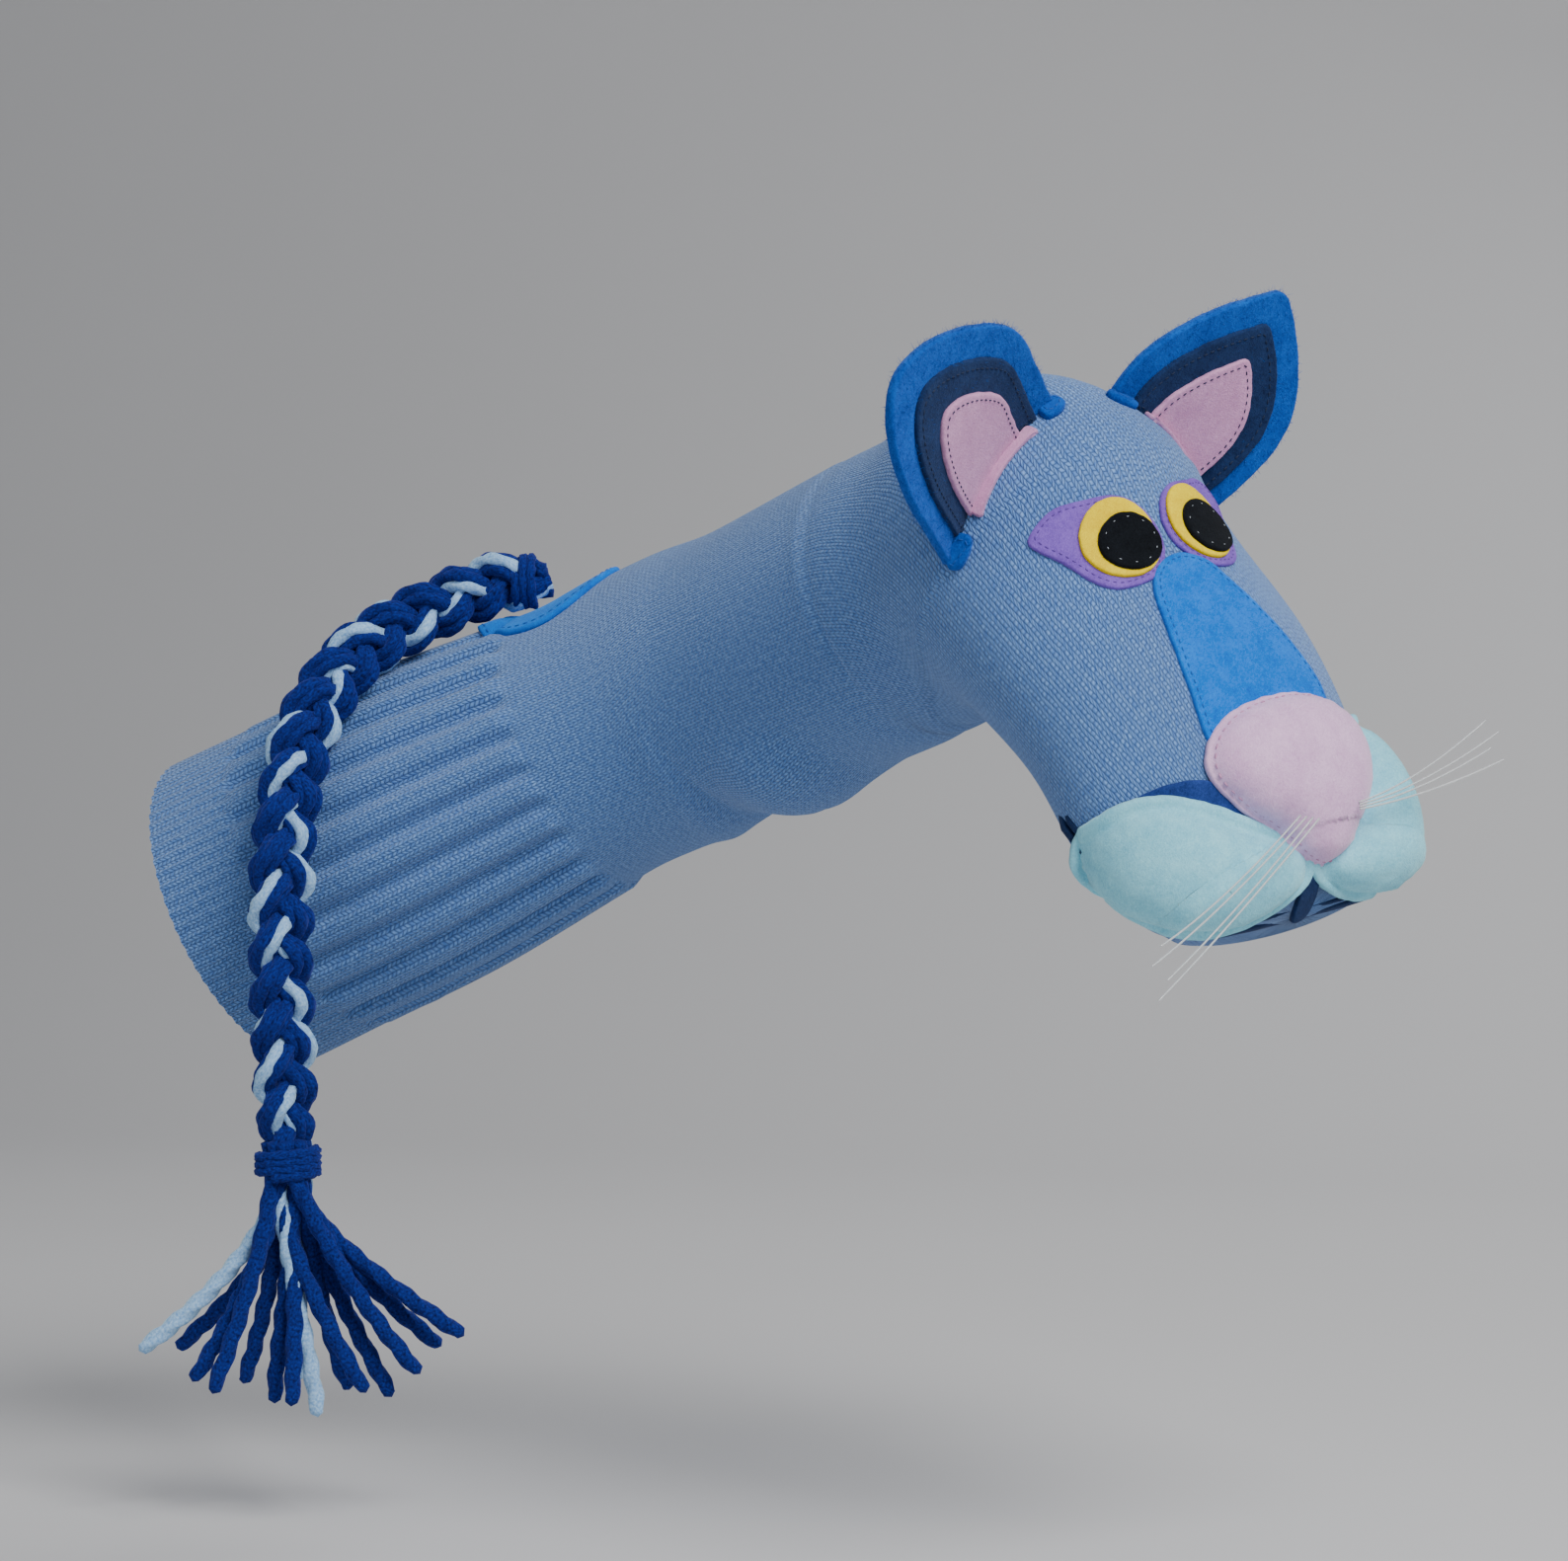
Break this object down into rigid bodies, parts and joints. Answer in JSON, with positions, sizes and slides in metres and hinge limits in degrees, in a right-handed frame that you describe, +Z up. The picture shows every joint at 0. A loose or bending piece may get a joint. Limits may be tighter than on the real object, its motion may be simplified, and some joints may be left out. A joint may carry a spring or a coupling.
{
  "type": "sock puppet",
  "caption": "Hand-worn big-cat puppet made from a knitted sock, with felt face and ears, stuffed muzzle, card-backed mouth, nylon whiskers and a braided yarn tail.",
  "frame": {"origin": "centre of the cuff opening, on the axis of the forearm", "axes": "+X along the puppet from cuff to snout on the level, -Y towards the side the tail hangs on, +Z up"},
  "size_m": [0.3839, 0.1921, 0.2895],
  "materials": {
    "knit": "knitted",
    "felt_bright_blue": "fuzzy felt",
    "felt_royal": "fuzzy felt",
    "felt_navy": "fuzzy felt",
    "felt_pink": "fuzzy felt",
    "felt_aqua": "fuzzy felt",
    "felt_purple": "fuzzy felt",
    "felt_yellow": "fuzzy felt",
    "felt_black": "fuzzy felt",
    "stuffing": "loose fibre",
    "card": "stiff card",
    "nylon": "clear filament",
    "yarn_blue": "plied yarn",
    "yarn_light": "plied yarn"
  },
  "bodies": {
    "leg": {"cuff_welt": "knit", "ribbed_leg": "knit", "ankle_knit": "knit", "tail_patch": "felt_bright_blue"},
    "wrist": {"wrist_gusset": "knit"},
    "neck": {"neck_knit": "knit", "nape_knit": "knit", "heel_pocket": "knit"},
    "head": {"head_knit": "knit", "mouth_lining_upper": "felt_navy", "mouth_card_upper": "card", "nose_felt": "felt_pink", "nose_stuffing": "stuffing", "nose_bridge": "felt_bright_blue", "muzzle_pad_left": "felt_aqua", "muzzle_stuffing_left": "stuffing", "eye_patch_left": "felt_purple", "iris_left": "felt_yellow", "pupil_left": "felt_black", "whiskers_left": "nylon", "muzzle_pad_right": "felt_aqua", "muzzle_stuffing_right": "stuffing", "eye_patch_right": "felt_purple", "iris_right": "felt_yellow", "pupil_right": "felt_black", "whiskers_right": "nylon"},
    "jaw": {"jaw_knit": "knit", "mouth_lining_lower": "felt_navy", "mouth_card_lower": "card"},
    "ear_left": {"ear_outer_left": "felt_royal", "ear_middle_left": "felt_navy", "ear_inner_left": "felt_pink"},
    "ear_right": {"ear_outer_right": "felt_royal", "ear_middle_right": "felt_navy", "ear_inner_right": "felt_pink"},
    "tail": {"tail_braid": "yarn_blue", "tail_tie": "yarn_blue", "tassel_blue": "yarn_blue", "tassel_light": "yarn_light"}
  },
  "joints": [
    {"name": "wrist_turn", "type": "hinge", "parent": "leg", "child": "wrist", "pos_m": [0.1416, 0, 0.06304], "axis": [0, 0, 1], "range_deg": [-3, 30]},
    {"name": "neck_nod", "type": "hinge", "parent": "wrist", "child": "neck", "pos_m": [0.1416, 0, 0.06304], "axis": [-0.4073, -0.9133, 0], "range_deg": [-15, 15]},
    {"name": "head_nod", "type": "hinge", "parent": "neck", "child": "head", "pos_m": [0.2472, -0.0471, 0.0995], "axis": [-0.4948, -0.8569, -0.1444], "range_deg": [-15, 25]},
    {"name": "jaw_open", "type": "hinge", "parent": "head", "child": "jaw", "pos_m": [0.27868, -0.05631, 0.04628], "axis": [0.4948, 0.8569, 0.1444], "range_deg": [0, 33]},
    {"name": "ear_left_flop", "type": "hinge", "parent": "head", "child": "ear_left", "pos_m": [0.2491, -0.08612, 0.11372], "axis": [-0.4121, -0.5248, -0.7448], "range_deg": [-12, 12], "stiffness_Nm_per_rad": 0.02},
    {"name": "ear_right_flop", "type": "hinge", "parent": "head", "child": "ear_right", "pos_m": [0.27923, -0.03393, 0.12251], "axis": [0.341, 0.7798, -0.525], "range_deg": [-12, 12], "stiffness_Nm_per_rad": 0.02},
    {"name": "tail_swing", "type": "hinge", "parent": "leg", "child": "tail", "pos_m": [0.0921, 0, 0.0979], "axis": [-0.9135, 0, -0.4067], "range_deg": [0, 40]}
  ]
}
